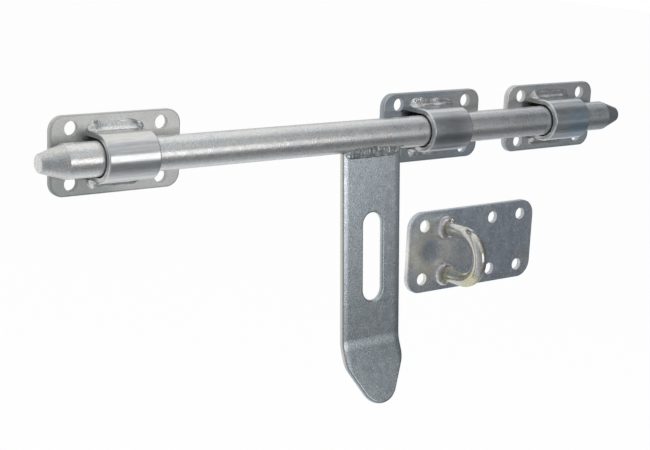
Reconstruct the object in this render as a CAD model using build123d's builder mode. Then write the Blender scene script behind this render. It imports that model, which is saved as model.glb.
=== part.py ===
from build123d import *
from math import cos, radians, sin, sqrt
import os

os.makedirs("parts", exist_ok=True)

# Sliding bolt of zinc-plated steel, in millimetres. The bar runs along +X, +Z is up and the door or
# frame is the plane y = 0 with everything in front of it at negative y. The origin is the middle of
# the left guide plate's back.

# Bar
bar_diameter = 18.0
bar_length = 405.0
bar_left_overhang = 49.0        # from the left guide's middle to the bar's left end
bar_right_overhang = 48.0       # from the right guide's middle to the bar's right end
taper_length = 13.5
taper_end_diameter = 9.2
taper_nose_radius = 1.2

# Guide plates, one shape used three times
plate_length = 74.5
plate_height = 41.0
plate_thickness = 3.0
plate_corner_radius = 7.5
plate_rim_radius = 0.9          # soft pressed edge on the front
screw_hole_diameter = 7.5
screw_spacing_length = 51.5
screw_spacing_height = 28.0
bar_to_plate_gap = 1.4
keeper_distance = 98.0          # from the middle guide to the right one, which sits on the frame

# Straps bent over the bar
loop_length = 29.5
loop_offset = -1.8              # along the bar from the plate's middle
loop_wall = 2.8
loop_running_clearance = 0.8    # round the bar
loop_mouth_radius = 0.8

# Fillet welds along the straps' feet
strap_weld_leg = 4.6
strap_weld_rise = 3.8
strap_weld_lead = 0.8           # past the end of the strap where the bead starts
strap_weld_trail = 2.5          # past the end of the strap where it stops
strap_weld_sag = 0.6            # hollow of the bead's face
weld_end_share = 0.4            # size of the bead's start and end beside its middle
weld_lump_share = 1.12          # size of the lump where the bead starts
weld_lump_distance = 2.6        # from the bead's start
weld_waist_distance = 6.0
weld_shoulder_distance = 1.8    # from the bead's end
weld_shoulder_share = 0.85

# Handle
handle_to_loop_gap = 16.45      # between the handle and the middle guide's strap
handle_width = 42.0
handle_thickness = 3.0
handle_swing = 4.2              # how far it hangs in front of straight down, degrees
handle_length = 155.6           # of the flat strip before bending, from the bar's axis to its tip
tongue_bend = 19.0
tongue_bend_radius = 18.0
tongue_length = 32.8
tongue_shoulder = 8.6           # full width kept below the bend
tongue_shoulder_radius = 16.0
tongue_tip_radius = 13.0
handle_edge_radius = 1.2
slot_length = 51.0
slot_width = 13.5
slot_from_bar = 69.7            # from the bar's axis to the slot's middle
slot_offset = 1.0               # to the right of the handle's middle
bar_seat_clearance = 0.3        # under the bar, where handle and welds meet it

# Welds between the handle and the bar
handle_weld_inset = 1.5
handle_weld_toe = 12.6          # lowest edge of the bead, from the bar's axis
handle_weld_climb = 5.4         # how far out in front of the handle's face the bead meets the bar
handle_weld_bulge = 0.7
handle_weld_end_radius = 2.0    # softens the bead's blunt ends

# Staple plate
staple_plate_length = 102.0
staple_plate_height = 50.0
staple_plate_thickness = 3.0
staple_plate_corner_radius = 10.0
staple_plate_rim_radius = 0.6
staple_plate_from_middle_guide = 39.5
staple_plate_drop = 77.5
staple_screw_spacing_length = 79.0
staple_screw_spacing_height = 33.0
staple_middle_screws = 16.0     # right of the plate's middle

# Staple of round wire
wire_diameter = 8.5
staple_leg_spacing = 28.4
staple_reach = 36.0             # outermost point in front of the plate
staple_offset = 23.0            # left of the plate's middle
collar_diameter = 15.4
collar_height = 4.6
collar_shoulder_radius = 2.4
collar_dip_width = 0.7
collar_dip_depth = 0.8          # where the collar's top dips towards the wire

# Places that follow from the sizes
bar_radius = bar_diameter / 2
bar_height = plate_thickness + bar_to_plate_gap + bar_radius
bar_left_end = -bar_left_overhang
bar_right_end = bar_left_end + bar_length
right_guide_x = bar_right_end - bar_right_overhang
middle_guide_x = right_guide_x - keeper_distance
loop_inner_radius = bar_radius + loop_running_clearance
loop_outer_radius = loop_inner_radius + loop_wall
guides = {"left": 0.0, "middle": middle_guide_x, "right": right_guide_x}
handle_x = middle_guide_x + loop_offset - loop_length / 2 - handle_to_loop_gap - handle_width / 2
staple_plate_x = middle_guide_x + staple_plate_from_middle_guide

bar_axis = Axis((0, -bar_height, 0), (1, 0, 0))
door_plane = Plane.XZ
bar_plane = Plane.XZ.offset(bar_height)


def strap_weld(x_start, x_end, side):
    """Hollow-faced bead along one foot of a strap, with a lump where it starts."""
    stations = [
        (x_start, weld_end_share),
        (x_start + weld_lump_distance, weld_lump_share),
        (x_start + weld_waist_distance, 1.0),
        (x_end - weld_shoulder_distance, weld_shoulder_share),
        (x_end, weld_end_share),
    ]
    corner = (-plate_thickness, side * loop_outer_radius)
    with BuildPart() as bead:
        for x, share in stations:
            toe = (corner[0], corner[1] + side * share * strap_weld_leg)
            crest = (corner[0] - share * strap_weld_rise, corner[1])
            with BuildSketch(Plane.YZ.offset(x)):
                with BuildLine():
                    Line(corner, toe)
                    SagittaArc(toe, crest, side * share * strap_weld_sag)
                    Line(crest, corner)
                make_face()
        loft(ruled=True)
    return bead


for guide_name, guide_x in guides.items():
    # Plate with rounded corners and four screw holes
    with BuildPart() as guide_plate:
        with BuildSketch(door_plane):
            with Locations((guide_x, 0)):
                RectangleRounded(plate_length, plate_height, plate_corner_radius)
                with GridLocations(screw_spacing_length, screw_spacing_height, 2, 2):
                    Circle(screw_hole_diameter / 2, mode=Mode.SUBTRACT)
        extrude(amount=plate_thickness)
        front_face = guide_plate.faces().sort_by(Axis.Y)[0]
        fillet(front_face.outer_wire().edges(), plate_rim_radius)
    guide_plate.part.label = f"{guide_name}_plate"
    export_step(guide_plate.part, f"parts/{guide_name}_plate.step")

    # Strap bent over the bar, its two legs standing on the plate
    loop_start = guide_x + loop_offset - loop_length / 2
    loop_end = loop_start + loop_length
    with BuildPart() as strap:
        with BuildSketch(Plane.YZ.offset(loop_start)):
            with BuildLine():
                Line((-plate_thickness, loop_inner_radius), (-bar_height, loop_inner_radius))
                CenterArc((-bar_height, 0), loop_inner_radius, 90, 180)
                Line((-bar_height, -loop_inner_radius), (-plate_thickness, -loop_inner_radius))
                offset(amount=loop_wall, side=Side.RIGHT)
            make_face()
        extrude(amount=loop_length)
        crown = strap.faces().filter_by(GeomType.CYLINDER).sort_by(SortBy.AREA)[-1]
        fillet(crown.edges().filter_by(GeomType.CIRCLE), loop_mouth_radius)
    strap.part.label = f"{guide_name}_loop"
    export_step(strap.part, f"parts/{guide_name}_loop.step")

    for weld_name, side in (("upper", 1), ("lower", -1)):
        guide_weld = strap_weld(loop_start - strap_weld_lead, loop_end + strap_weld_trail, side)
        guide_weld.part.label = f"{guide_name}_{weld_name}_weld"
        export_step(guide_weld.part, f"parts/{guide_name}_{weld_name}_weld.step")

# Bar, turned down to a taper at both ends
with BuildPart() as bolt_bar:
    with BuildSketch(bar_plane):
        with BuildLine():
            Polyline(
                (bar_left_end, 0),
                (bar_left_end, taper_end_diameter / 2),
                (bar_left_end + taper_length, bar_radius),
                (bar_right_end - taper_length, bar_radius),
                (bar_right_end, taper_end_diameter / 2),
                (bar_right_end, 0),
                close=True,
            )
        make_face()
    revolve(axis=bar_axis)
    noses = bolt_bar.edges().filter_by(GeomType.CIRCLE).group_by(Axis.X)
    fillet(noses[0] + noses[-1], taper_nose_radius)
bolt_bar.part.label = "bolt_bar"
export_step(bolt_bar.part, "parts/bolt_bar.step")

# Handle: a strip hanging from the bar, its tongue bent forwards. Local y runs up the strip from the
# bar's axis and local z points to the front.
handle_tilt = Location((0, 0, 0), (-handle_swing, 0, 0))
handle_plane = Plane(Location((handle_x, -bar_height, 0), (90, 0, 0)) * handle_tilt)
half_thickness = handle_thickness / 2
bend_middle_radius = half_thickness + tongue_bend_radius
handle_to_bend = handle_length - tongue_length - bend_middle_radius * radians(tongue_bend)
bend_axis = Axis(handle_plane.from_local_coords((0, -handle_to_bend, bend_middle_radius)), (-1, 0, 0))
bend_section_plane = Plane(handle_plane.location * Location((0, -handle_to_bend, 0), (90, 0, 0)))
tongue_origin = (
    0,
    -handle_to_bend - bend_middle_radius * sin(radians(tongue_bend)),
    bend_middle_radius - bend_middle_radius * cos(radians(tongue_bend)),
)
tongue_plane = Plane(handle_plane.location * Location(tongue_origin, (-tongue_bend, 0, 0)))
bar_seat_radius = bar_radius + bar_seat_clearance

with BuildPart() as hasp_handle:
    # Straight strip down to the bend, with the slot that the staple comes through
    with BuildSketch(handle_plane):
        with Locations((0, -handle_to_bend / 2)):
            Rectangle(handle_width, handle_to_bend)
        with Locations((slot_offset, -slot_from_bar)):
            SlotOverall(slot_length, slot_width, rotation=90, mode=Mode.SUBTRACT)
    extrude(amount=half_thickness, both=True)
    with BuildSketch(bend_section_plane):
        Rectangle(handle_width, handle_thickness)
    revolve(axis=bend_axis, revolution_arc=tongue_bend)
    # Tongue, narrowing to a round tip
    with BuildSketch(tongue_plane) as tongue_outline:
        with Locations((0, -tongue_shoulder / 2)):
            Rectangle(handle_width, tongue_shoulder)
        with Locations((0, tongue_tip_radius - tongue_length)):
            Circle(tongue_tip_radius)
        make_hull()
        shoulders = tongue_outline.vertices().group_by(Axis.Y)[-2]
        fillet(shoulders, tongue_shoulder_radius)
    extrude(amount=half_thickness, both=True)
    # Edges rounded all the way round the strip and round the slot, on both faces
    across_strip = Axis((0, 0, 0), handle_plane.z_dir)
    across_tongue = Axis((0, 0, 0), tongue_plane.z_dir)
    rims = hasp_handle.edges().filter_by(Axis.X, reverse=True)
    rims = rims.filter_by(across_strip, reverse=True).filter_by(across_tongue, reverse=True)
    fillet(rims, handle_edge_radius)
    # Seat under the bar
    with BuildSketch(Plane.YZ.offset(handle_x)):
        with Locations((-bar_height, 0)):
            Circle(bar_seat_radius)
    extrude(amount=handle_width, both=True, mode=Mode.SUBTRACT)
hasp_handle.part.label = "hasp_handle"
export_step(hasp_handle.part, "parts/hasp_handle.step")

# Welds in the corners between the handle and the bar, in front and behind
weld_length = handle_width - 2 * handle_weld_inset
for weld_name, side in (("front", 1), ("rear", -1)):
    weld_plane = Plane(
        origin=(handle_x + weld_length / 2, -bar_height, 0),
        x_dir=handle_plane.z_dir,
        z_dir=(-1, 0, 0),
    )
    climb_out = half_thickness + handle_weld_climb
    toe = (side * half_thickness, -handle_weld_toe)
    crest = (side * climb_out, -sqrt(bar_seat_radius**2 - climb_out**2))
    with BuildPart() as handle_weld:
        with BuildSketch(weld_plane):
            with BuildLine():
                Line((side * half_thickness, 0), toe)
                SagittaArc(toe, crest, -side * handle_weld_bulge)
                Line(crest, (side * half_thickness, 0))
            make_face()
            Circle(bar_seat_radius, mode=Mode.SUBTRACT)
        extrude(amount=weld_length)
        bulge = handle_weld.faces().filter_by(GeomType.CYLINDER).sort_by(lambda face: face.radius)[-1]
        fillet(bulge.edges().filter_by(GeomType.CIRCLE), handle_weld_end_radius)
    handle_weld.part.label = f"handle_{weld_name}_weld"
    export_step(handle_weld.part, f"parts/handle_{weld_name}_weld.step")

# Staple plate: four screw holes at its corners and two more beside the staple
staple_plate_centre = (staple_plate_x, -staple_plate_drop)
with BuildPart() as staple_plate:
    with BuildSketch(door_plane):
        with Locations(staple_plate_centre):
            RectangleRounded(staple_plate_length, staple_plate_height, staple_plate_corner_radius)
            with GridLocations(staple_screw_spacing_length, staple_screw_spacing_height, 2, 2):
                Circle(screw_hole_diameter / 2, mode=Mode.SUBTRACT)
            with Locations((staple_middle_screws, 0)):
                with GridLocations(0, staple_screw_spacing_height, 1, 2):
                    Circle(screw_hole_diameter / 2, mode=Mode.SUBTRACT)
    extrude(amount=staple_plate_thickness)
    front_face = staple_plate.faces().sort_by(Axis.Y)[0]
    fillet(front_face.outer_wire().edges(), staple_plate_rim_radius)
staple_plate.part.label = "staple_plate"
export_step(staple_plate.part, "parts/staple_plate.step")

# Staple: a U of round wire standing on the plate, open towards it
staple_x = staple_plate_x - staple_offset
staple_bend_radius = staple_leg_spacing / 2
staple_bend_y = -staple_plate_thickness - staple_reach + wire_diameter / 2 + staple_bend_radius
upper_leg_z = -staple_plate_drop + staple_leg_spacing / 2
lower_leg_z = -staple_plate_drop - staple_leg_spacing / 2
with BuildPart() as staple_ring:
    with BuildLine(Plane.YZ.offset(staple_x)) as wire_path:
        Line((-staple_plate_thickness, upper_leg_z), (staple_bend_y, upper_leg_z))
        CenterArc((staple_bend_y, -staple_plate_drop), staple_bend_radius, 90, 180)
        Line((staple_bend_y, lower_leg_z), (-staple_plate_thickness, lower_leg_z))
    with BuildSketch(Plane(origin=(staple_x, -staple_plate_thickness, upper_leg_z), z_dir=(0, -1, 0))):
        Circle(wire_diameter / 2)
    sweep(path=wire_path.line)
staple_ring.part.label = "staple_ring"
export_step(staple_ring.part, "parts/staple_ring.step")

# Weld collars with round shoulders, one round each leg
for weld_name, leg_z in (("upper", upper_leg_z), ("lower", lower_leg_z)):
    leg_foot = (staple_x, -staple_plate_thickness, leg_z)
    with BuildPart() as staple_collar:
        with BuildSketch(Plane(origin=leg_foot, x_dir=(1, 0, 0), z_dir=(0, 0, -1))) as section:
            with BuildLine():
                Polyline(
                    (collar_diameter / 2, 0),
                    (wire_diameter / 2, 0),
                    (wire_diameter / 2, collar_height - collar_dip_depth),
                    (wire_diameter / 2 + collar_dip_width, collar_height),
                    (collar_diameter / 2, collar_height),
                    close=True,
                )
            make_face()
            fillet(section.vertices().group_by(Axis.X)[-1].sort_by(Axis.Y)[-1], collar_shoulder_radius)
        revolve(axis=Axis(leg_foot, (0, 1, 0)))
    staple_collar.part.label = f"staple_{weld_name}_weld"
    export_step(staple_collar.part, f"parts/staple_{weld_name}_weld.step")
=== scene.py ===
from math import cos, exp, pi, radians, sin, sqrt

import bmesh
import bpy
from mathutils import Matrix, Vector, noise


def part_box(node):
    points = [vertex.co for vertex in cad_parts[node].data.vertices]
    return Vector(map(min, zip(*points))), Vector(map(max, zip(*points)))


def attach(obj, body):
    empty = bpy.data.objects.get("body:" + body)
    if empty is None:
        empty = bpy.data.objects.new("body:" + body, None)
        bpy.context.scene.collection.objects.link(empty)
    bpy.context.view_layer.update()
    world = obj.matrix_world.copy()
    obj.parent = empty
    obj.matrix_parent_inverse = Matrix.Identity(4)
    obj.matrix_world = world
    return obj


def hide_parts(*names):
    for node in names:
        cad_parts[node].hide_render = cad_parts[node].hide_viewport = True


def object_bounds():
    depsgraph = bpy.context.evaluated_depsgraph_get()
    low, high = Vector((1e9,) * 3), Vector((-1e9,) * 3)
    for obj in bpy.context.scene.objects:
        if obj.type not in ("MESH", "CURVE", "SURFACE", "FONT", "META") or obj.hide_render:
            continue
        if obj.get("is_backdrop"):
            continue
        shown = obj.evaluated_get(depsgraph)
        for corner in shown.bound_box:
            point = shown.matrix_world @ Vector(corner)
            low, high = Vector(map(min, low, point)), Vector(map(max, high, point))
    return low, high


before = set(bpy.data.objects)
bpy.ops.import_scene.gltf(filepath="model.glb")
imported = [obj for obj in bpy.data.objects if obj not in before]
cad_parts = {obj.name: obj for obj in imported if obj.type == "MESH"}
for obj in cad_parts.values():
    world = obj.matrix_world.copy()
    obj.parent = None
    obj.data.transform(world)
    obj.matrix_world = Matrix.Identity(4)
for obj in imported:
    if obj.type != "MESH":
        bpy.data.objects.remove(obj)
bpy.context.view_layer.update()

MM = 0.001

# Camera at the photograph's place, fitted in the part's own frame
CAMERA_PLACE = (-0.3586, -0.6470, 0.1394)
CAMERA_YAW = 37.44          # turned to the right of +Y, degrees
CAMERA_PITCH = 13.28        # looking down
CAMERA_ROLL = 2.58
CAMERA_LENS = 81.24         # on a sensor SENSOR_WIDTH wide
SENSOR_WIDTH = 36.0

# Sizes and places read from the frame
GUIDES = ("left", "middle", "right")
low_corners = {node: Vector(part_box(node)[0]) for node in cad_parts}
high_corners = {node: Vector(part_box(node)[1]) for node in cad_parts}
bar_low, bar_high = low_corners["bolt_bar"], high_corners["bolt_bar"]
bar_centre = (bar_low + bar_high) / 2
bar_radius = (bar_high.z - bar_low.z) / 2
handle_low, handle_high = low_corners["hasp_handle"], high_corners["hasp_handle"]
plate_front = low_corners["left_plate"].y
loop_half_height = high_corners["left_loop"].z


def new_object(name, mesh, material):
    """Object of a mesh, linked to the scene, with its material and smooth faces."""
    piece = bpy.data.objects.new(name, mesh)
    bpy.context.scene.collection.objects.link(piece)
    mesh.materials.append(material)
    mesh.shade_smooth()
    return piece


# Node helpers: each takes a node tree and returns an output socket, except add_node


def add_node(tree, kind, inputs=None, **settings):
    """New node with its settings; each input is linked to a socket or set to a value."""
    node = tree.nodes.new(kind)
    for name, value in settings.items():
        setattr(node, name, value)
    for key, value in (inputs or {}).items():
        if isinstance(value, bpy.types.NodeSocket):
            tree.links.new(value, node.inputs[key])
        else:
            node.inputs[key].default_value = value
    return node


def calculate(tree, operation, first, second=0.0):
    """Arithmetic on one or two values."""
    return add_node(tree, "ShaderNodeMath", {0: first, 1: second}, operation=operation).outputs[0]


def remap(tree, value, low, high, to_low=0.0, to_high=1.0, interpolation="LINEAR"):
    """Value brought from one range to another and kept within it."""
    inputs = {"Value": value, "From Min": low, "From Max": high, "To Min": to_low, "To Max": to_high}
    return add_node(tree, "ShaderNodeMapRange", inputs, interpolation_type=interpolation).outputs["Result"]


def mix_colours(tree, share, colour, other, blend_type="MIX"):
    """Colour mixed with a fixed tone or with another socket's colour."""
    if isinstance(other, tuple):
        other = (*other, 1.0)
    inputs = {"Factor": share, "A": colour, "B": other}
    return add_node(tree, "ShaderNodeMix", inputs, data_type="RGBA", blend_type=blend_type).outputs["Result"]


def ramp(tree, value, stops):
    """Colour ramp driven by a value, from (position, tone) stops."""
    node = add_node(tree, "ShaderNodeValToRGB", {"Fac": value})
    elements = node.color_ramp.elements
    while len(elements) < len(stops):
        elements.new(0.5)
    for element, (position, tone) in zip(elements, stops):
        element.position = position
        element.color = (*tone, 1.0)
    return node.outputs["Color"]


def noise_texture(tree, place, scale, detail, roughness, stretch=None):
    """Noise in features a metre, drawn out along the axes whose stretch is below 1."""
    if stretch:
        place = add_node(tree, "ShaderNodeMapping", {"Vector": place, "Scale": stretch}).outputs["Vector"]
    inputs = {"Vector": place, "Scale": scale, "Detail": detail, "Roughness": roughness}
    return add_node(tree, "ShaderNodeTexNoise", inputs).outputs["Fac"]


def distance_along_x(tree, place, centre):
    """Distance from a centre, measured along x."""
    x = add_node(tree, "ShaderNodeSeparateXYZ", {0: place}).outputs["X"]
    return calculate(tree, "ABSOLUTE", calculate(tree, "SUBTRACT", x, centre))


def normal_along_y(tree, coordinates):
    """How far a face looks towards +Y: 1 on the plates' backs, 0 on their rims, -1 on their fronts."""
    return add_node(tree, "ShaderNodeSeparateXYZ", {0: coordinates["Normal"]}).outputs["Y"]


def bump(tree, height, depth, normal=None, invert=False):
    """Normal bent by a height, on top of another normal if given."""
    inputs = {"Strength": 1.0, "Distance": depth, "Height": height}
    if normal:
        inputs["Normal"] = normal
    return add_node(tree, "ShaderNodeBump", inputs, invert=invert).outputs["Normal"]


def tint_below(tree, value, band, tone):
    """Multiplier for a colour: the tone where the value is below the band, white above it."""
    low, high = band
    return ramp(tree, value, [(low, tone), (high, grey(1.0))])


def grey(level):
    return (level, level, level)


def between(limits, share):
    """Value at a share of the way between two limits."""
    return limits[0] + (limits[1] - limits[0]) * share


# Layers of the zinc plating: each takes a colour and returns it changed, and comes in over its band
METALLIC = 0.95
CLOUD_BAND = (0.32, 0.68)
# Patches of another tone: mostly painted light and shade, a tint on the staple plate
PAINTED_LIGHT_AND_TINT_STRENGTH = 0.9
PAINTED_LIGHT_AND_TINT_CORE = 0.3                # share of its reach that a patch fills at full strength
HOLLOW_BAND = (0.5, 1.4)        # times the hollow
BACK_BAND = (0.5, 0.2)
FLECK_BAND = (0.36, 0.62)
FLECK_SHADE = 0.55
# Sparkle: painted glints, bright points in the colour
SPARKLE_BAND = (0.6, 0.66)
SPARKLE_STRETCH = (1, 1, 0.6)
SPARKLE_TONE = (0.95, 0.96, 0.97)
SHADED_END_BLEND = 0.5 * MM         # where a shaded end starts, and before its end face
SHADED_END_MARGIN = 0.1 * MM        # round the end face
GLOSS_BAND = (0.3, 0.7)
GLOSS_SCALE = 170.0
WAVE_SCALE = 120.0
RIM_BAND = (0.3, 0.7)
RIM_DULL_BAND = (0.8, 0.998)
RIM_DULLNESS = 0.35
SIDE_BLEND = 0.8 * MM           # over which a strip's front takes the tone of its sides


def clouds(tree, place, tones, scale, stretch):
    """Tones in soft clouds, each next to the ones beside it in the list."""
    spread = noise_texture(tree, place, scale, detail=4.0, roughness=0.6, stretch=stretch)
    stops = [(between(CLOUD_BAND, i / (len(tones) - 1)), tone) for i, tone in enumerate(tones)]
    return ramp(tree, spread, stops)


def add_painted_light_and_tint(tree, coordinates, colour, centre, reach, tone, hollow=0.0, plain_back=False):
    """Patch of another tone round a centre, faded out at its reach and clear within its hollow: mostly
    painted light and shade, and on the staple plate a tint.

    With plain_back, faces towards +Y are spared.
    """
    inputs = {0: coordinates["Object"], 1: centre}
    distance = add_node(tree, "ShaderNodeVectorMath", inputs, operation="DISTANCE").outputs["Value"]
    share = remap(tree, distance, PAINTED_LIGHT_AND_TINT_CORE * reach, reach, PAINTED_LIGHT_AND_TINT_STRENGTH, 0.0, "SMOOTHSTEP")
    if hollow:
        inner, outer = (hollow * times for times in HOLLOW_BAND)
        rise = remap(tree, distance, inner, outer, interpolation="SMOOTHSTEP")
        share = calculate(tree, "MULTIPLY", share, rise)
    if plain_back:
        not_back = remap(tree, normal_along_y(tree, coordinates), *BACK_BAND)
        share = calculate(tree, "MULTIPLY", share, not_back)
    return mix_colours(tree, share, colour, tone)


def add_flecks(tree, colour, grain, strength):
    """Darker flecks in the dips of the grain."""
    shades = tint_below(tree, grain, FLECK_BAND, grey(FLECK_SHADE))
    return mix_colours(tree, strength, colour, shades, "MULTIPLY")


def add_sparkle(tree, place, colour, scale, strength):
    """Scattered bright points: painted glints."""
    points = noise_texture(tree, place, scale, detail=1.0, roughness=0.5, stretch=SPARKLE_STRETCH)
    share = remap(tree, points, *SPARKLE_BAND, 0.0, strength)
    return mix_colours(tree, share, colour, SPARKLE_TONE)


def add_shaded_ends(tree, place, colour, centre, half_length, cone_length, shade):
    """Painted shade: the cones at both ends of a bar darker, up to their end faces."""
    distance = distance_along_x(tree, place, centre)
    cone_start = half_length - cone_length
    cone = remap(tree, distance, cone_start, cone_start + SHADED_END_BLEND)
    face = remap(tree, distance, half_length - SHADED_END_BLEND, half_length - SHADED_END_MARGIN)
    return mix_colours(tree, calculate(tree, "SUBTRACT", cone, face), colour, grey(shade), "MULTIPLY")


def add_rim(tree, coordinates, colour, dullness, tone):
    """Sheared rim and hole walls of a plate, duller and multiplied by a tone: darker below 1, and above 1 a
    painted highlight; also returns the dullness.
    """
    flatness = calculate(tree, "ABSOLUTE", normal_along_y(tree, coordinates))
    colour = mix_colours(tree, 1.0, colour, tint_below(tree, flatness, RIM_BAND, tone), "MULTIPLY")
    rim_dullness = remap(tree, flatness, *RIM_DULL_BAND, RIM_DULLNESS, 0.0)
    return colour, calculate(tree, "ADD", dullness, rim_dullness)


def add_rolled_edge(tree, place, colour, normal, centre, half_width, reach, depth, tone):
    """Margins of a strip rolled down to two sides with a tone of their own; also returns the normal."""
    distance = distance_along_x(tree, place, centre)
    margin = remap(tree, distance, half_width - reach, half_width)
    normal = bump(tree, calculate(tree, "POWER", margin, 2.0), depth, normal, invert=True)
    side = remap(tree, distance, half_width - SIDE_BLEND, half_width)
    return mix_colours(tree, side, colour, tone), normal


def zinc(
    name,
    tones,
    roughness,
    grain_scale,
    grain_height,
    grain_stretch=None,
    fleck=0.45,
    gloss_change=0.06,
    cloud_scale=28.0,
    cloud_stretch=None,
    wave_height=0.0,
    painted_light_and_tint=None,
    sparkle=None,
    shaded_ends=None,
    rim=None,
    rolled_edge=None,
):
    """Bright zinc plate: clouded tones, uneven gloss and a fine grain over metal.

    The arguments for the patch of another tone (mostly painted light and shade), the sparkle (painted
    glints), the darker cones (painted shade) and the rolled edge hold the values of the layers of the same
    names, and rim the tone that a plate's rim is multiplied by (above 1, a painted highlight).
    """
    material = bpy.data.materials.new(name)
    material.use_nodes = True
    tree = material.node_tree
    shader = tree.nodes["Principled BSDF"]
    shader.inputs["Metallic"].default_value = METALLIC
    coordinates = add_node(tree, "ShaderNodeTexCoord").outputs
    place = coordinates["Object"]
    grain = noise_texture(tree, place, grain_scale, detail=1.0, roughness=0.5, stretch=grain_stretch)

    colour = clouds(tree, place, tones, cloud_scale, cloud_stretch)
    if painted_light_and_tint:
        colour = add_painted_light_and_tint(tree, coordinates, colour, **painted_light_and_tint)
    colour = add_flecks(tree, colour, grain, fleck)
    if sparkle:
        colour = add_sparkle(tree, place, colour, **sparkle)
    if shaded_ends:
        colour = add_shaded_ends(tree, place, colour, **shaded_ends)

    unevenness = noise_texture(tree, place, GLOSS_SCALE, detail=3.0, roughness=0.6)
    dullness = remap(tree, unevenness, *GLOSS_BAND, roughness - gloss_change, roughness + gloss_change)
    if rim:
        colour, dullness = add_rim(tree, coordinates, colour, dullness, rim)

    normal = None
    if wave_height:
        waves = noise_texture(tree, place, WAVE_SCALE, detail=2.0, roughness=0.5)
        normal = bump(tree, waves, wave_height)
    if rolled_edge:
        colour, normal = add_rolled_edge(tree, place, colour, normal, **rolled_edge)
    normal = bump(tree, grain, grain_height, normal)

    tree.links.new(colour, shader.inputs["Base Color"])
    tree.links.new(dullness, shader.inputs["Roughness"])
    tree.links.new(normal, shader.inputs["Normal"])
    return material


# Tones of the plating
BLUE_GREY = (0.50, 0.545, 0.58)
PALE_GREY = (0.60, 0.62, 0.625)
WARM_GREY = (0.61, 0.61, 0.585)
SLATE = (0.50, 0.52, 0.53)
TEAL_GREY = (0.42, 0.46, 0.465)
STEEL_BLUE = (0.45, 0.50, 0.56)
DEEP_BLUE = (0.43, 0.54, 0.63)
OLIVE = (0.60, 0.58, 0.47)
OLIVE_PALE = (0.86, 0.85, 0.78)
STAPLE_OLIVE = (0.55, 0.53, 0.39)
YELLOWISH = (0.66, 0.62, 0.46)
PALE_PINK = (0.65, 0.63, 0.64)
PINKISH = (0.66, 0.58, 0.56)
COLLAR_PINK = (0.80, 0.75, 0.725)
EDGE_CREAM = (0.56, 0.545, 0.515)
HANDLE_PALE = (0.55, 0.58, 0.60)
TONGUE_SHADE_GREY = (0.395, 0.435, 0.455)
LOOP_DARK = (0.30, 0.32, 0.335)
BAR_GREY = (0.68, 0.69, 0.68)
BAR_PALE = (0.73, 0.72, 0.695)
BAR_DUSK = (0.55, 0.57, 0.58)
PLATE_PALE = (0.66, 0.655, 0.635)
DARK_GREY = (0.31, 0.33, 0.335)
GREENISH = (0.41, 0.43, 0.41)

# Guide plates: one zinc in tones set plate by plate, the left paler and the middle darker, as painted light
# and shade
PLATE_FINISH = {"grain_scale": 1400.0, "grain_height": 0.02 * MM, "fleck": 0.28, "gloss_change": 0.03}
left_plate_zinc = zinc(
    "left_plate_zinc",
    [WARM_GREY, PLATE_PALE, WARM_GREY],
    roughness=0.42,
    # Painted shade: a darker greenish patch round the lower left corner
    painted_light_and_tint={
        "centre": low_corners["left_plate"] + Vector((10 * MM, 0, 3 * MM)),
        "reach": 42 * MM,
        "tone": GREENISH,
        "plain_back": True,
    },
    rim=grey(1.0),
    **PLATE_FINISH,
)
middle_plate_zinc = zinc(
    "middle_plate_zinc",
    [TEAL_GREY, STEEL_BLUE, TEAL_GREY],
    roughness=0.22,
    # Painted light: a paler warm patch round the upper right corner
    painted_light_and_tint={
        "centre": high_corners["middle_plate"],
        "reach": 42 * MM,
        "tone": WARM_GREY,
        "plain_back": True,
    },
    rim=grey(0.85),
    **PLATE_FINISH,
)
right_plate_zinc = zinc(
    "right_plate_zinc",
    [BLUE_GREY, PALE_GREY, BLUE_GREY],
    roughness=0.22,
    # Painted light: a paler patch up the left side
    painted_light_and_tint={
        "centre": low_corners["right_plate"] + Vector((2 * MM, 0, 32 * MM)),
        "reach": 24 * MM,
        "tone": BAR_PALE,
        "plain_back": True,
    },
    rim=grey(0.85),
    **PLATE_FINISH,
)

# Straps, drawn smooth along the bar
LOOP_FINISH = {
    "roughness": 0.24,
    "grain_scale": 900.0,
    "grain_height": 0.004 * MM,
    "grain_stretch": (0.15, 1, 1),
    "fleck": 0.2,
    "gloss_change": 0.02,
    "cloud_scale": 110.0,
    "cloud_stretch": (0.12, 1, 1),
}


def on_loop(guide, x, z):
    """Point on the front of a strap, at x from its left end and z above the bar's axis."""
    low = low_corners[f"{guide}_loop"]
    return Vector((low.x + x, low.y, z))


left_loop_zinc = zinc("left_loop_zinc", [WARM_GREY, PALE_GREY, WARM_GREY, PALE_PINK], **LOOP_FINISH)
middle_loop_zinc = zinc(
    "middle_loop_zinc",
    [PALE_GREY, PALE_PINK, PALE_GREY, PALE_PINK],
    # Painted reflection: a dark band low across the front of the strap
    painted_light_and_tint={"centre": on_loop("middle", 14 * MM, -6 * MM), "reach": 22 * MM, "tone": LOOP_DARK},
    **LOOP_FINISH,
)
right_loop_zinc = zinc(
    "right_loop_zinc",
    [OLIVE, SLATE, PALE_GREY, PALE_PINK],
    # Painted reflection: a deep blue band across the front of the strap
    painted_light_and_tint={"centre": on_loop("right", 20 * MM, -2 * MM), "reach": 16 * MM, "tone": DEEP_BLUE},
    **LOOP_FINISH,
)

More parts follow.
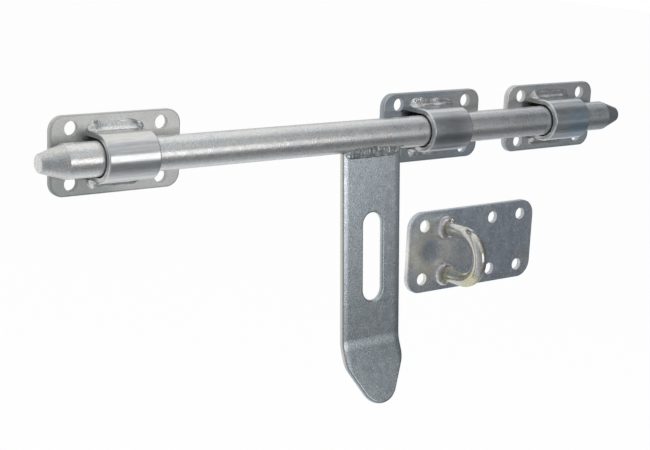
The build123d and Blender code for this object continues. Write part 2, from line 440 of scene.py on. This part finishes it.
# Bar, handle and staple
CONE_LENGTH = 13.5 * MM
bar_zinc = zinc(
    "bar_zinc",
    [BAR_GREY, BAR_PALE, BAR_GREY],
    roughness=0.3,
    grain_scale=1300.0,
    grain_height=0.07 * MM,
    wave_height=0.02 * MM,
    sparkle={"scale": 1400.0, "strength": 0.4},
    # Painted shade: the bar darker towards its right end
    painted_light_and_tint={"centre": Vector((bar_high.x, bar_centre.y, 0)), "reach": 170 * MM, "tone": BAR_DUSK},
    # Painted shade on the cones at the bar's ends
    shaded_ends={
        "centre": bar_centre.x,
        "half_length": (bar_high.x - bar_low.x) / 2,
        "cone_length": CONE_LENGTH,
        "shade": 0.82,
    },
)
handle_half_width = (handle_high.x - handle_low.x) / 2
handle_zinc = zinc(
    "handle_zinc",
    [HANDLE_PALE, BLUE_GREY, HANDLE_PALE],
    roughness=0.25,
    grain_scale=1300.0,
    grain_height=0.04 * MM,
    sparkle={"scale": 1500.0, "strength": 0.22},
    # Painted shade: the handle darker towards its tongue
    painted_light_and_tint={
        "centre": handle_low + Vector((handle_half_width, 0, 14 * MM)),
        "reach": 138 * MM,
        "tone": TONGUE_SHADE_GREY,
    },
    rolled_edge={
        "centre": handle_low.x + handle_half_width,
        "half_width": handle_half_width,
        "reach": 4.5 * MM,
        "depth": 0.42 * MM,
        "tone": EDGE_CREAM,
    },
)
staple_plate_zinc = zinc(
    "staple_plate_zinc",
    [BLUE_GREY, STEEL_BLUE, PALE_GREY],
    roughness=0.3,
    grain_scale=1500.0,
    grain_height=0.02 * MM,
    fleck=0.2,
    sparkle={"scale": 1200.0, "strength": 0.4},
    painted_light_and_tint={
        "centre": low_corners["staple_plate"] + Vector((17 * MM, 0, 25 * MM)),
        "hollow": 8 * MM,
        "reach": 28 * MM,
        "tone": OLIVE_PALE,
        "plain_back": True,
    },
    # The rim tone above 1 is a painted highlight on the rim and the hole walls
    rim=(1.25, 1.2, 1.17),
)
staple_zinc = zinc(
    "staple_zinc",
    [YELLOWISH, STAPLE_OLIVE, WARM_GREY, PINKISH],
    roughness=0.18,
    grain_scale=900.0,
    grain_height=0.01 * MM,
    cloud_scale=60.0,
)

# Weld metal under the zinc
STRAP_WELD_FINISH = {"roughness": 0.24, "grain_scale": 900.0, "grain_height": 0.02 * MM, "cloud_scale": 150.0}
strap_weld_zincs = {
    "left": zinc("left_weld_zinc", [BAR_GREY, BAR_PALE, BAR_GREY], **STRAP_WELD_FINISH),
    "middle": zinc(
        "middle_weld_zinc",
        [BLUE_GREY, BAR_PALE, PALE_GREY],
        sparkle={"scale": 650.0, "strength": 0.8},
        **STRAP_WELD_FINISH,
    ),
    "right": zinc(
        "right_weld_zinc",
        [BLUE_GREY, WARM_GREY, PALE_PINK, OLIVE],
        sparkle={"scale": 650.0, "strength": 0.3},
        **STRAP_WELD_FINISH,
    ),
}
handle_weld_zinc = zinc(
    "dark_weld_zinc",
    [DARK_GREY, GREENISH, DARK_GREY],
    roughness=0.2,
    grain_scale=1100.0,
    grain_height=0.04 * MM,
    fleck=0.25,
    cloud_scale=200.0,
    sparkle={"scale": 800.0, "strength": 0.8},
)
collar_zinc = zinc(
    "collar_zinc",
    [COLLAR_PINK, PALE_PINK, COLLAR_PINK],
    roughness=0.3,
    grain_scale=900.0,
    grain_height=0.03 * MM,
    cloud_scale=180.0,
)

NODE_MATERIALS = {
    "left_plate": left_plate_zinc,
    "middle_plate": middle_plate_zinc,
    "right_plate": right_plate_zinc,
    "left_loop": left_loop_zinc,
    "middle_loop": middle_loop_zinc,
    "right_loop": right_loop_zinc,
    "bolt_bar": bar_zinc,
    "hasp_handle": handle_zinc,
    "staple_plate": staple_plate_zinc,
    "staple_ring": staple_zinc,
}                               # the welds' own solids don't show: the beads and collars take their places
for node_name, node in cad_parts.items():
    node.data.materials.clear()
    node.data.materials.append(NODE_MATERIALS.get(node_name, collar_zinc))


def ringed_piece(name, rings, closed, material, node, body):
    """Weld skinned over rings of points, closed into a loop or capped, in the place of a CAD node."""
    mesh = bmesh.new()
    rows = [[mesh.verts.new(point) for point in ring] for ring in rings]
    following_rows = rows[1:] + rows[:1] if closed else rows[1:]
    for row, following in zip(rows, following_rows):
        for j in range(len(row)):
            k = (j + 1) % len(row)
            mesh.faces.new((row[j], row[k], following[k], following[j]))
    if not closed:
        mesh.faces.new(rows[0])
        mesh.faces.new(reversed(rows[-1]))
    bmesh.ops.recalc_face_normals(mesh, faces=mesh.faces)
    data = bpy.data.meshes.new(name)
    mesh.to_mesh(data)
    mesh.free()
    piece = new_object(name, data, material)
    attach(piece, body)
    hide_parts(node)


def hump(value, centre, width):
    """Bell-shaped weight, 1 at its centre."""
    return exp(-(((value - centre) / width) ** 2))


# Weld beads
SINK = 0.25 * MM                # into the metal that a bead joins
BEAD_STEP = 0.25 * MM
BEAD_STEPS_ACROSS = 28

# Humps of a bead's face, each by its centre and width: along the bead, or across it from toe (0) to crest (1)
LUMP_ALONG, LUMP_ACROSS = (2.5 * MM, 3.2 * MM), (0.5, 0.4)
CRATER_ALONG, CRATER_ACROSS = (3.5 * MM, 1.6 * MM), (0.5, 0.3)      # along, from the bead's end
TOE_LIP, CREST_LIP = (0.13, 0.13), (0.93, 0.06)
CREST_LIP_SHARE = 0.2
RIPPLE_WIDTH = 0.25

# Noise of a bead: scales of the values that it depends on
WANDER_SCALES = (170, 2, 3.1)
ROUGH_SCALES = (1300, 8, 5.7)
REACH_SCALES = (150, 7.3, 1)
REACH_WANDER = 0.08


def bead_noise(scales, *values):
    """Noise at the point whose coordinates are three values, each times its scale."""
    return noise.noise(Vector([value * scale for value, scale in zip(values, scales)]))


def bead_height(x, t, length, shape, seed):
    """Height of a bead's face over its flat chord, at x along it and t from its toe (0) to its crest (1).

    shape gives the heights of the hollow, of the lips on both edges, of the lump and the fine roughness
    where the bead starts, of the crater where it ends, and of the wander and the ripple all along.
    """
    belly = sin(pi * t)
    wander = bead_noise(WANDER_SCALES, x, t, seed)
    roughness = bead_noise(ROUGH_SCALES, x, t, seed)
    lump = hump(x, *LUMP_ALONG) * hump(t, *LUMP_ACROSS)
    crater = hump(length - x, *CRATER_ALONG) * hump(t, *CRATER_ACROSS)
    lips = hump(t, *TOE_LIP) + CREST_LIP_SHARE * hump(t, *CREST_LIP)
    ripple = sin(2 * pi * (x / shape["pitch"] + wander + (2 * t - 1) ** 2))
    height = -shape["hollow"] * belly
    height += shape["lip"] * (1 + wander) * lips
    height += shape["lump"] * lump
    height += shape["rough"] * roughness * sqrt(lump)
    height -= shape["crater"] * crater
    height += shape["wander"] * wander * belly
    height += shape["ripple"] * ripple * hump(t, shape["ripple_place"], RIPPLE_WIDTH)
    return height


def weld_bead(name, node, body, corner, across, out, length, toe, crest, back, shape, seed, material):
    """Weld bead along +X that swells over its run_in and dies out over its run_out.

    corner is the start of the line where the two joined faces meet, across and out are unit vectors
    along those faces. toe is the bead's reach along across and crest the point (across, out) where it
    ends on the other face. back lists the points of its hidden side.
    """
    along, across, out = Vector((1, 0, 0)), Vector(across), Vector(out)
    steps = round(length / BEAD_STEP)
    rings = []
    for i in range(steps + 1):
        x = length * i / steps
        from_end = min(x / shape["run_in"], (length - x) / shape["run_out"], 1)
        share = sqrt(1 - (1 - from_end) ** 2)
        reach = share * (1 + REACH_WANDER * bead_noise(REACH_SCALES, x, seed, 1))
        toe_point = Vector((toe * reach, -SINK))
        crest_point = Vector((crest[0] * reach - SINK, crest[1] * reach))
        normal = Vector((crest_point.y - toe_point.y, toe_point.x - crest_point.x)).normalized()
        section = []
        for j in range(BEAD_STEPS_ACROSS + 1):
            t = j / BEAD_STEPS_ACROSS
            height = bead_height(x, t, length, shape, seed) * share
            section.append(toe_point.lerp(crest_point, t) + normal * height)
        section += [Vector(point) for point in back]
        rings.append([Vector(corner) + along * x + across * a + out * o for a, o in section])
    ringed_piece(name, rings, False, material, node, body)


# Beads along the straps' feet
STRAP_BEAD = {
    "lump": 1.0 * MM,
    "crater": 0.4 * MM,
    "wander": 0.12 * MM,
    "ripple": 0.02 * MM,
    "pitch": 1.4 * MM,
    "ripple_place": 0.5,
    "run_in": 4 * MM,
    "run_out": 9 * MM,
}
GUIDE_BEADS = {
    "left": {"hollow": 0.6 * MM, "lip": 0.2 * MM, "rough": 0.2 * MM},
    "middle": {"hollow": 1.1 * MM, "lip": 0.4 * MM, "rough": 0.55 * MM},
    "right": {"hollow": 1.0 * MM, "lip": 0.3 * MM, "rough": 0.35 * MM},
}
STRAP_BEAD_LEAD = 0.8 * MM      # past the end of the strap where the bead starts
STRAP_BEAD_TRAIL = 2.5 * MM
for guide_number, guide in enumerate(GUIDES):
    loop_start = low_corners[f"{guide}_loop"].x - STRAP_BEAD_LEAD
    loop_end = high_corners[f"{guide}_loop"].x + STRAP_BEAD_TRAIL
    for side_number, (side_name, side) in enumerate((("upper", 1), ("lower", -1))):
        weld_bead(
            f"{guide}_{side_name}_bead",
            f"{guide}_{side_name}_weld",
            "door_side",
            corner=(loop_start, plate_front, side * loop_half_height),
            across=(0, 0, side),
            out=(0, -1, 0),
            length=loop_end - loop_start,
            toe=4.8 * MM,
            crest=(0.0, 3.8 * MM),
            back=[(-SINK, -SINK)],
            shape=STRAP_BEAD | GUIDE_BEADS[guide],
            seed=guide_number * 2 + side_number + 1,
            material=strap_weld_zincs[guide],
        )

# Beads between the handle and the bar
HANDLE_BEAD = {
    "hollow": -0.3 * MM,
    "lip": 0.25 * MM,
    "lump": 0.2 * MM,
    "crater": 0.1 * MM,
    "rough": 0.3 * MM,
    "wander": 0.35 * MM,
    "ripple": 0.16 * MM,
    "pitch": 2.3 * MM,
    "ripple_place": 0.6,
    "run_in": 4 * MM,
    "run_out": 4 * MM,
}
HANDLE_HANG = radians(4.2)      # in front of straight down
HANDLE_HALF_THICKNESS = 1.5 * MM
BEAD_CLIMB = 5.4 * MM           # out from the handle's face, where the bead meets the bar
SEAT_RADIUS = bar_radius + 0.04 * MM
SEAT_STEPS = 8
strip_down = Vector((0, -sin(HANDLE_HANG), -cos(HANDLE_HANG)))
strip_front = Vector((0, -cos(HANDLE_HANG), sin(HANDLE_HANG)))
corner_drop = sqrt(SEAT_RADIUS**2 - HANDLE_HALF_THICKNESS**2)
bead_start = Vector((low_corners["handle_front_weld"].x, bar_centre.y, 0))
seat = []
for k in range(SEAT_STEPS + 1):
    climb = BEAD_CLIMB * (1 - k / SEAT_STEPS)
    seat.append((sqrt(SEAT_RADIUS**2 - (HANDLE_HALF_THICKNESS + climb) ** 2) - corner_drop, climb))
for side_name, side in (("front", 1), ("rear", -1)):
    out = side * strip_front
    weld_bead(
        f"handle_{side_name}_bead",
        f"handle_{side_name}_weld",
        "handle",
        corner=bead_start + strip_down * corner_drop + out * HANDLE_HALF_THICKNESS,
        across=strip_down,
        out=out,
        length=high_corners["handle_front_weld"].x - bead_start.x,
        toe=3.6 * MM,
        crest=seat[0],
        back=seat[1:],
        shape=HANDLE_BEAD,
        seed=20 + side,
        material=handle_weld_zinc,
    )

# Collars round the staple's legs: lumpy beads with a faint ripple
COLLAR_STEPS = 96
COLLAR_STEPS_ACROSS = 18
COLLAR_LUMPS = 0.35 * MM
LUMP_SCALE_ROUND = 1.7
LUMP_SCALE_ACROSS = 1.5
LUMP_SCALE_APART = 4.0          # from one collar to the next
COLLAR_RIPPLE = 0.05 * MM
RIPPLES_ROUND = 26
RIPPLE_SLANT = 5
OUTWARD_POWER, UPWARD_POWER = 0.8, 0.7      # of the bead's quarter round, below 1 for a fuller one
COLLAR_DIP = 0.18               # share of the height that the bead loses at the wire
COLLAR_DIP_WIDTH = 0.25
wire_radius = (high_corners["staple_ring"].x - low_corners["staple_ring"].x) / 2


def collar_section(foot, angle, inner, outer, height, number):
    """Points over a collar at an angle round its leg, from the wire down to the plate."""
    radial = Vector((cos(angle), 0, sin(angle)))
    section = [foot + radial * inner + Vector((0, SINK, 0))]
    for j in range(COLLAR_STEPS_ACROSS + 1):
        t = j / COLLAR_STEPS_ACROSS
        place = radial * LUMP_SCALE_ROUND + Vector((0, t * LUMP_SCALE_ACROSS, LUMP_SCALE_APART * number))
        lumps = noise.noise(place) * COLLAR_LUMPS
        lumps += COLLAR_RIPPLE * sin(RIPPLES_ROUND * angle + RIPPLE_SLANT * t)
        reach = inner + (outer - inner) * sin(t * pi / 2) ** OUTWARD_POWER
        rise = height * cos(t * pi / 2) ** UPWARD_POWER * (1 - COLLAR_DIP * hump(t, 0, COLLAR_DIP_WIDTH))
        section.append(foot + radial * (reach + lumps * t) + Vector((0, -rise - lumps * (1 - t), 0)))
    section.append(foot + radial * outer + Vector((0, SINK, 0)))
    return section


for collar_number, side_name in enumerate(("upper", "lower")):
    node_name = f"staple_{side_name}_weld"
    low, high = low_corners[node_name], high_corners[node_name]
    foot = Vector(((low.x + high.x) / 2, high.y, (low.z + high.z) / 2))
    inner, outer, height = wire_radius - SINK, (high.x - low.x) / 2, high.y - low.y
    rings = []
    for i in range(COLLAR_STEPS):
        angle = 2 * pi * i / COLLAR_STEPS
        rings.append(collar_section(foot, angle, inner, outer, height, collar_number))
    ringed_piece(f"staple_{side_name}_collar", rings, True, collar_zinc, node_name, "door_side")

# Camera
camera_data = bpy.data.cameras.new("camera")
camera_data.lens = CAMERA_LENS
camera_data.sensor_width = SENSOR_WIDTH
camera = bpy.data.objects.new("camera", camera_data)
camera.matrix_world = (
    Matrix.Translation(CAMERA_PLACE)
    @ Matrix.Rotation(radians(-CAMERA_YAW), 4, "Z")
    @ Matrix.Rotation(radians(90 - CAMERA_PITCH), 4, "X")
    @ Matrix.Rotation(radians(CAMERA_ROLL), 4, "Z")
)
bpy.context.scene.collection.objects.link(camera)
bpy.context.scene.camera = camera


# Lamps
def direction(azimuth, elevation):
    """Unit vector from the object: azimuth 0 is -Y, 90 is +X; elevation is above the horizon."""
    a, e = radians(azimuth), radians(elevation)
    return Vector((sin(a) * cos(e), -cos(a) * cos(e), sin(e)))


def softbox(name, place, target, width, height, radiance):
    """Rectangular soft light aimed at a point; radiance 1 shows as white in a mirror."""
    light = bpy.data.lights.new(name, "AREA")
    light.shape = "RECTANGLE"
    light.size = width
    light.size_y = height
    light.energy = radiance * width * height * pi
    lamp = bpy.data.objects.new(name, light)
    lamp.location = place
    lamp.rotation_euler = (target - place).to_track_quat("-Z", "Y").to_euler()
    lamp.visible_camera = False
    bpy.context.scene.collection.objects.link(lamp)


LAMP_DISTANCE = 1.6
middle = Vector((0.15, 0, 0))
above = middle + Vector((-0.2, 0.6, 0))
front = middle + LAMP_DISTANCE * direction(21.5, 1.7)
high_front = middle + LAMP_DISTANCE * direction(15, 37)
right_side = middle + LAMP_DISTANCE * direction(50, -6)
overhead = above + Vector((0, 0, 1.5))
softbox("front_softbox", front, middle, width=0.7, height=0.76, radiance=1.8)
softbox("fill_softbox", high_front, middle, width=1.35, height=0.95, radiance=0.4)
softbox("side_softbox", right_side, middle, width=0.3, height=0.35, radiance=0.2)
softbox("top_softbox", overhead, above, width=2.4, height=1.8, radiance=0.15)

# Surround of a dim studio, which only the metal's reflections show: patches of a sphere, each from
# azimuth to azimuth and from elevation to elevation, with its glow at some elevations
SURROUND_DISTANCE = 2.4
SURROUND_TINT = (0.95, 1.0, 1.06)
SURROUND_COLUMNS = 36
SURROUND_ROWS = 24
SURROUND = {
    "far_left": ((-80, -42), (-72, 62), ((-70, 0.75), (-30, 0.58), (25, 0.58), (60, 0.8))),
    "left": ((-42, -8), (-72, 62), ((-70, 0.7), (-30, 0.42), (25, 0.42), (60, 0.75))),
    "front_left": (
        (-8, 20),
        (-72, 62),
        ((-70, 0.7), (-45, 0.35), (-30, 0.38), (25, 0.38), (42, 0.4), (60, 0.75)),
    ),
    "front": (
        (20, 46),
        (-72, 62),
        ((-70, 0.65), (-58, 0.42), (-45, 0.22), (-30, 0.2), (25, 0.3), (42, 0.42), (60, 0.75)),
    ),
    "front_right": (
        (46, 78),
        (-72, 62),
        (
            (-70, 0.75),
            (-55, 0.42),
            (-45, 0.26),
            (-30, 0.12),
            (0, 0.14),
            (18, 0.24),
            (30, 0.16),
            (42, 0.22),
            (60, 0.85),
        ),
    ),
    "right": ((78, 115), (-72, 28), ((-70, 0.85), (-50, 0.5), (-38, 0.42), (-28, 0.15), (28, 0.15))),
    "far_right": ((115, 150), (-50, 28), ((-50, 0.85), (-35, 0.7), (28, 0.6))),
    "upper_right": ((78, 112), (28, 62), ((28, 0.4), (42, 0.5), (50, 0.75), (62, 1.0))),
}


def glow(name, levels):
    """Glow set by the elevation seen from the middle, which isn't sampled as a lamp."""
    material = bpy.data.materials.new(name)
    material.use_nodes = True
    tree = material.node_tree
    tree.nodes.clear()
    place = add_node(tree, "ShaderNodeTexCoord").outputs["Object"]
    z = add_node(tree, "ShaderNodeSeparateXYZ", {0: place}).outputs["Z"]
    height = remap(tree, z, -SURROUND_DISTANCE, SURROUND_DISTANCE)
    stops = [((sin(radians(e)) + 1) / 2, [level * c for c in SURROUND_TINT]) for e, level in levels]
    emission = add_node(tree, "ShaderNodeEmission", {"Color": ramp(tree, height, stops)})
    add_node(tree, "ShaderNodeOutputMaterial", {"Surface": emission.outputs[0]})
    material.cycles.emission_sampling = "NONE"
    return material


def surround(name, azimuths, elevations, levels):
    """Glowing patch of a sphere round the object."""
    mesh = bmesh.new()
    grid = []
    for i in range(SURROUND_COLUMNS + 1):
        azimuth = between(azimuths, i / SURROUND_COLUMNS)
        column = []
        for j in range(SURROUND_ROWS + 1):
            elevation = between(elevations, j / SURROUND_ROWS)
            column.append(mesh.verts.new(SURROUND_DISTANCE * direction(azimuth, elevation)))
        grid.append(column)
    for near, far in zip(grid, grid[1:]):
        for j in range(SURROUND_ROWS):
            mesh.faces.new((near[j], far[j], far[j + 1], near[j + 1]))
    data = bpy.data.meshes.new(name)
    mesh.to_mesh(data)
    mesh.free()
    wall = new_object(name, data, glow(name, levels))
    wall.location = middle
    wall.visible_camera = False
    wall.visible_diffuse = False
    wall.visible_shadow = False
    wall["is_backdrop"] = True


for patch_name, (azimuths, elevations, levels) in SURROUND.items():
    surround(f"{patch_name}_surround", azimuths, elevations, levels)

# White surroundings
world = bpy.data.worlds.new("world")
bpy.context.scene.world = world
world.use_nodes = True
background = world.node_tree.nodes["Background"]
background.inputs["Color"].default_value = (1, 1, 1, 1)
background.inputs["Strength"].default_value = 1.0

# Floor: pale, white to the camera and to reflections, with the object's shadow left on it
FLOOR_SIZE = 6.0
FLOOR_DEPTH = 0.5
WHITE_SHARE = 0.8
floor_mesh = bmesh.new()
bmesh.ops.create_grid(floor_mesh, x_segments=1, y_segments=1, size=FLOOR_SIZE)
floor_data = bpy.data.meshes.new("floor")
floor_mesh.to_mesh(floor_data)
floor_mesh.free()
floor_material = bpy.data.materials.new("floor")
floor_material.use_nodes = True
tree = floor_material.node_tree
pale = tree.nodes["Principled BSDF"]
pale.inputs["Base Color"].default_value = (0.9, 0.9, 0.9, 1)
pale.inputs["Roughness"].default_value = 0.9
rays = add_node(tree, "ShaderNodeLightPath").outputs
seen = calculate(tree, "MAXIMUM", rays["Is Camera Ray"], rays["Is Glossy Ray"])
seen = calculate(tree, "MAXIMUM", seen, rays["Is Transmission Ray"])
white = add_node(tree, "ShaderNodeEmission", {"Strength": 1.0})
share = calculate(tree, "MULTIPLY", seen, WHITE_SHARE)
mix = add_node(tree, "ShaderNodeMixShader", {0: share, 1: pale.outputs[0], 2: white.outputs[0]})
tree.links.new(mix.outputs[0], tree.nodes["Material Output"].inputs["Surface"])
floor = new_object("floor", floor_data, floor_material)
floor.location = (0, 0, -FLOOR_DEPTH)
floor.visible_glossy = False
floor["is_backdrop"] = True

bpy.context.scene.view_settings.view_transform = "Standard"

low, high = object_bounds()
